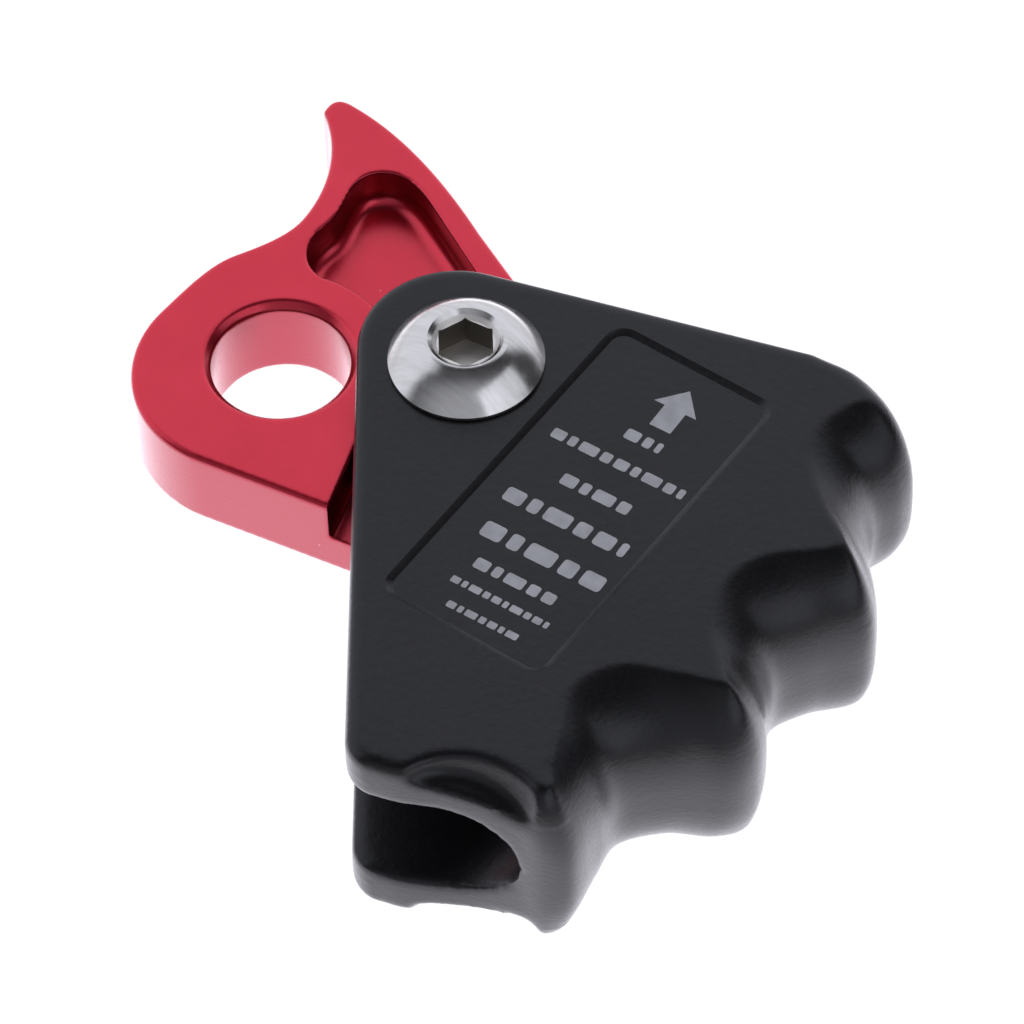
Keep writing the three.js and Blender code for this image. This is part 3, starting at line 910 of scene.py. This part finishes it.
class Nodes:
    """Short calls for building one material's nodes."""

    def __init__(self, name, **shader):
        self.material = bpy.data.materials.new(name)
        self.material.use_nodes = True
        self.tree = self.material.node_tree
        self.tree.nodes.clear()
        self.shader = self.add("ShaderNodeBsdfPrincipled")
        for socket, value in shader.items():
            self.shader.inputs[socket.replace("_", " ")].default_value = value
        output = self.add("ShaderNodeOutputMaterial")
        self.link(self.shader.outputs["BSDF"], output.inputs["Surface"])
        self.place = self.add("ShaderNodeTexCoord").outputs["Object"]

    def add(self, kind, **settings):
        node = self.tree.nodes.new(kind)
        for name, value in settings.items():
            setattr(node, name, value)
        return node

    def link(self, source, target):
        self.tree.links.new(source, target)

    def noise(self, scale, detail=3, roughness=0.5, stretch=None):
        node = self.add("ShaderNodeTexNoise")
        node.inputs["Scale"].default_value = scale
        node.inputs["Detail"].default_value = detail
        node.inputs["Roughness"].default_value = roughness
        source = self.place
        if stretch is not None:
            mapping = self.add("ShaderNodeMapping")
            mapping.inputs["Scale"].default_value = stretch
            self.link(self.place, mapping.inputs["Vector"])
            source = mapping.outputs["Vector"]
        self.link(source, node.inputs["Vector"])
        return node.outputs["Fac"]

    def spread(self, source, low, high, to_low=0.0, to_high=1.0):
        node = self.add("ShaderNodeMapRange")
        node.inputs["From Min"].default_value = low
        node.inputs["From Max"].default_value = high
        node.inputs["To Min"].default_value = to_low
        node.inputs["To Max"].default_value = to_high
        self.link(source, node.inputs["Value"])
        return node.outputs["Result"]

    def mix(self, factor, first, second):
        """Blends two colours, each a tuple or the output of another node."""
        node = self.add("ShaderNodeMix", data_type="RGBA")
        self.link(factor, node.inputs["Factor"])
        colours = [socket for socket in node.inputs if socket.type == "RGBA"]
        for socket, colour in zip(colours, (first, second)):
            if isinstance(colour, tuple):
                socket.default_value = (*colour, 1)
            else:
                self.link(colour, socket)
        return next(socket for socket in node.outputs if socket.type == "RGBA")

    def bump(self, height, strength, distance, normal=None):
        node = self.add("ShaderNodeBump")
        node.inputs["Strength"].default_value = strength
        node.inputs["Distance"].default_value = distance
        self.link(height, node.inputs["Height"])
        if normal is not None:
            self.link(normal, node.inputs["Normal"])
        return node.outputs["Normal"]

    def levelness(self):
        """0 on upright walls and 1 on level faces."""
        parts = self.add("ShaderNodeSeparateXYZ")
        self.link(self.add("ShaderNodeNewGeometry").outputs["True Normal"], parts.inputs["Vector"])
        size = self.add("ShaderNodeMath", operation="ABSOLUTE")
        self.link(parts.outputs["Z"], size.inputs[0])
        return self.spread(size.outputs["Value"], 0.3, 0.8)

    def finish(self, **sources):
        for socket, source in sources.items():
            self.link(source, self.shader.inputs[socket.replace("_", " ")])
        return self.material


def powder_coat():
    nodes = Nodes("powder_coat", Metallic=0.0, Specular_IOR_Level=0.45)
    grain = nodes.noise(2400, 4, 0.6)
    leather = nodes.noise(1100, 3, 0.5, stretch=(1, 1, 2.4))
    cloud = nodes.noise(90, 3)
    colour = nodes.mix(nodes.spread(cloud, 0.3, 0.7), (0.004, 0.004, 0.005), (0.007, 0.007, 0.009))
    roughness = nodes.spread(grain, 0.3, 0.7, 0.27, 0.36)
    normal = nodes.bump(leather, 0.3, 0.0001, nodes.bump(grain, 0.25, 0.00003))
    return nodes.finish(Base_Color=colour, Roughness=roughness, Normal=normal)


def red_anodised():
    """Dyed metal under a clear oxide layer; the milled side walls get a darker base colour than the
    flat faces, which is painted shade.
    """
    nodes = Nodes("red_anodised", Metallic=1.0, Coat_Weight=0.8, Coat_Roughness=0.22, Coat_IOR=1.5)
    grain = nodes.noise(3200, 4, 0.6)
    cloud = nodes.noise(120, 3)
    specks = nodes.noise(650, 2)
    face = nodes.mix(nodes.spread(cloud, 0.3, 0.7), (0.72, 0.017, 0.046), (0.78, 0.023, 0.056))
    # Painted shade: every upright wall takes a darker red than the level faces
    finish = nodes.mix(nodes.levelness(), (0.3, 0.012, 0.03), face)
    speckled = nodes.mix(nodes.spread(specks, 0.77, 0.8), finish, (0.9, 0.55, 0.55))
    roughness = nodes.spread(grain, 0.3, 0.7, 0.28, 0.38)
    milling = nodes.noise(3600, 3, 0.6, stretch=(0.015, 0.015, 1))
    bumped = nodes.bump(milling, 0.5, 0.00004, nodes.bump(grain, 0.12, 0.00003))
    return nodes.finish(Base_Color=speckled, Roughness=roughness, Normal=bumped)


def polished_steel():
    nodes = Nodes("polished_steel", Metallic=1.0)
    streaks = nodes.noise(220, 4, 0.6, stretch=(1, 6, 1))
    mottle = nodes.noise(700, 3, 0.6)
    colour = nodes.mix(nodes.spread(streaks, 0.4, 0.7), (0.73, 0.72, 0.7), (0.63, 0.62, 0.6))
    flat = nodes.add("ShaderNodeMapping")
    flat.inputs["Location"].default_value = (-PIVOT.x, -PIVOT.y, 0)
    flat.inputs["Scale"].default_value = (1, 1, 0)
    nodes.link(nodes.place, flat.inputs["Vector"])
    from_axis = nodes.add("ShaderNodeVectorMath", operation="LENGTH")
    nodes.link(flat.outputs["Vector"], from_axis.inputs[0])
    # Painted shade and light in the hex socket: a dark base colour on its walls and a near-white one on
    # its floor
    socket_radius = 3.6 * MM
    outside = nodes.spread(from_axis.outputs["Value"], socket_radius, 1.06 * socket_radius)
    socket_painted_shade_and_light = nodes.mix(nodes.levelness(), (0.22, 0.2, 0.17), (1, 0.97, 0.92))
    colour = nodes.mix(outside, socket_painted_shade_and_light, colour)
    polish = nodes.spread(mottle, 0.3, 0.7, 0.16, 0.26)
    roughness = nodes.spread(outside, 0, 1, 0.55)
    nodes.link(polish, roughness.node.inputs["To Max"])
    return nodes.finish(Base_Color=colour, Roughness=roughness)


def plain_finish(name, colour, metallic, roughness, grain_scale=1800):
    nodes = Nodes(name, Metallic=metallic)
    grain = nodes.noise(grain_scale, 3)
    darker = tuple(0.8 * c for c in colour)
    tint = nodes.mix(nodes.spread(grain, 0.35, 0.65), darker, colour)
    rough = nodes.spread(grain, 0.3, 0.7, 0.85 * roughness, 1.15 * roughness)
    return nodes.finish(Base_Color=tint, Roughness=rough, Normal=nodes.bump(grain, 0.15, 0.00003))


# Stage

def make_floor():
    """Pale floor that glows a little, as a product photographer's light table does."""
    size = 1.5
    below_the_object = 0.0002
    mesh = bpy.data.meshes.new("floor")
    corners = [(-size, -size, 0), (size, -size, 0), (size, size, 0), (-size, size, 0)]
    mesh.from_pydata(corners, [], [(0, 1, 2, 3)])
    floor = bpy.data.objects.new("floor", mesh)
    bpy.context.scene.collection.objects.link(floor)
    floor.location.z = -below_the_object
    nodes = Nodes("floor_white", Roughness=0.95)
    nodes.shader.inputs["Base Color"].default_value = (0.1, 0.1, 0.1, 1)
    distance = nodes.add("ShaderNodeVectorMath", operation="LENGTH")
    nodes.link(nodes.place, distance.inputs[0])
    near, far = FLOOR_GLOW["reach"]
    fall = nodes.spread(distance.outputs["Value"], near, far, FLOOR_GLOW["near"], FLOOR_GLOW["far"])
    seen = nodes.add("ShaderNodeLightPath").outputs["Is Camera Ray"]
    glow = nodes.spread(seen, 0, 1, 0, FLOOR_GLOW["seen"])
    nodes.link(fall, glow.node.inputs["To Min"])
    nodes.finish(Emission_Strength=glow, Emission_Color=nodes.mix(seen, FLOOR_TINT, (1, 1, 1)))
    set_material(floor, nodes.material)


def make_world():
    """Bright backdrop that fills the low directions behind the object, and a dim room elsewhere."""
    world = bpy.data.worlds.new("studio")
    world.use_nodes = True
    tree = world.node_tree
    background = tree.nodes["Background"]
    direction = tree.nodes.new("ShaderNodeTexCoord").outputs["Generated"]

    def along(azimuth):
        """Cosine of the angle between a direction and the level direction of an azimuth."""
        node = tree.nodes.new("ShaderNodeVectorMath")
        node.operation = "DOT_PRODUCT"
        turn = math.radians(azimuth)
        node.inputs[1].default_value = (math.sin(turn), -math.cos(turn), 0)
        tree.links.new(direction, node.inputs[0])
        return node.outputs["Value"]

    def fade(source, start, end, low, high):
        node = tree.nodes.new("ShaderNodeMapRange")
        node.interpolation_type = "SMOOTHSTEP"
        for socket, value in zip(("From Min", "From Max", "To Min", "To Max"), (start, end, low, high)):
            if isinstance(value, bpy.types.NodeSocket):
                tree.links.new(value, node.inputs[socket])
            else:
                node.inputs[socket].default_value = value
        tree.links.new(source, node.inputs["Value"])
        return node.outputs["Result"]

    height = tree.nodes.new("ShaderNodeSeparateXYZ")
    tree.links.new(direction, height.inputs["Vector"])
    room = fade(along(CAMERA["azimuth"]), 0, 1, ROOM["overhead"], ROOM["behind the camera"])
    low, high = (math.sin(math.radians(angle)) for angle in BACKDROP["top edge"])
    under_top = fade(height.outputs["Z"], low, high, BACKDROP["bright"], room)
    behind = along(CAMERA["azimuth"] + 180 + BACKDROP["turn"])
    strength = fade(behind, *BACKDROP["side edge"], room, under_top)
    tree.links.new(strength, background.inputs["Strength"])
    background.inputs["Color"].default_value = (*BACKDROP_TINT, 1)
    bpy.context.scene.world = world


def towards(azimuth, elevation):
    """Unit vector at an azimuth and an elevation in degrees; azimuth 0 is -Y and 90 is +X."""
    a, e = math.radians(azimuth), math.radians(elevation)
    return Vector((math.sin(a) * math.cos(e), -math.cos(a) * math.cos(e), math.sin(e)))


def softbox(name, azimuth, elevation, distance, width, height, power):
    data = bpy.data.lights.new(name, "AREA")
    data.shape = "RECTANGLE"
    data.size = width
    data.size_y = height
    data.energy = power
    data.color = BACKDROP_TINT
    light = bpy.data.objects.new(name, data)
    bpy.context.scene.collection.objects.link(light)
    away = towards(azimuth, elevation)
    light.location = away * distance
    light.rotation_euler = away.to_track_quat("Z", "Y").to_euler()


def make_lights():
    make_world()
    softbox("right_softbox", **SOFTBOX, power=SOFTBOX_POWER)


def make_camera():
    """Camera in front of the tool, below and to the right of it, looking down at its front plate."""
    azimuth, roll = math.radians(CAMERA["azimuth"]), math.radians(CAMERA["roll"])
    aim = Vector(to_frame([(*CAMERA_AIM, BODY_THICKNESS)])[0])
    distance = CAMERA["distance"] * MM
    back = towards(CAMERA["azimuth"], CAMERA["elevation"])
    level = Vector((math.cos(azimuth), math.sin(azimuth), 0))
    upright = back.cross(level)
    right = math.cos(roll) * level + math.sin(roll) * upright
    up = back.cross(right)
    data = bpy.data.cameras.new("camera")
    data.lens = CAMERA["lens"]
    data.sensor_width = 36
    data.clip_start = 0.01
    camera = bpy.data.objects.new("camera", data)
    bpy.context.scene.collection.objects.link(camera)
    rotation = camera.matrix_world.copy().to_3x3()
    rotation.col[0], rotation.col[1], rotation.col[2] = right, up, back
    camera.matrix_world = rotation.to_4x4()
    camera.location = aim + back * distance
    bpy.context.scene.camera = camera
    bpy.context.scene.view_settings.view_transform = "Standard"


# Assembly

def add_piece(obj, body, material, slot, *nodes):
    """Finishes a piece: its material, the body it rides on and the CAD nodes it replaces; the slot is
    not used.
    """
    set_material(obj, material)
    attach(obj, body)
    if nodes:
        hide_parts(*nodes)


make_camera()
make_lights()
make_floor()

steel = polished_steel()
add_piece(make_body(), "frame", powder_coat(), "black_powder_coat", "body")
add_piece(make_lever(), "lever", red_anodised(), "red_anodised", "cam_lever")
add_piece(make_bolt(), "frame", steel, "stainless", "pivot_bolt")
add_piece(make_nut(), "frame", steel, "stainless", "lock_nut")
bronze = plain_finish("bearing_bronze", (0.6, 0.42, 0.2), 1.0, 0.35)
add_piece(make_sleeve(), "frame", bronze, "bronze", "pivot_sleeve")
nylon = plain_finish("washer_nylon", (0.78, 0.76, 0.7), 0.0, 0.5)
for node in ("front_thrust_washer", "rear_thrust_washer"):
    add_piece(make_washer(node.replace("thrust_", ""), node), "frame", nylon, "nylon", node)
wire = plain_finish("spring_wire", (0.4, 0.4, 0.41), 1.0, 0.3)
add_piece(make_spring(), "frame", wire, "spring_steel", "torsion_spring")
pale = plain_finish("pale_print", (0.6, 0.6, 0.62), 0.0, 0.6, grain_scale=500)
add_piece(make_print(), "frame", pale, "light_print")
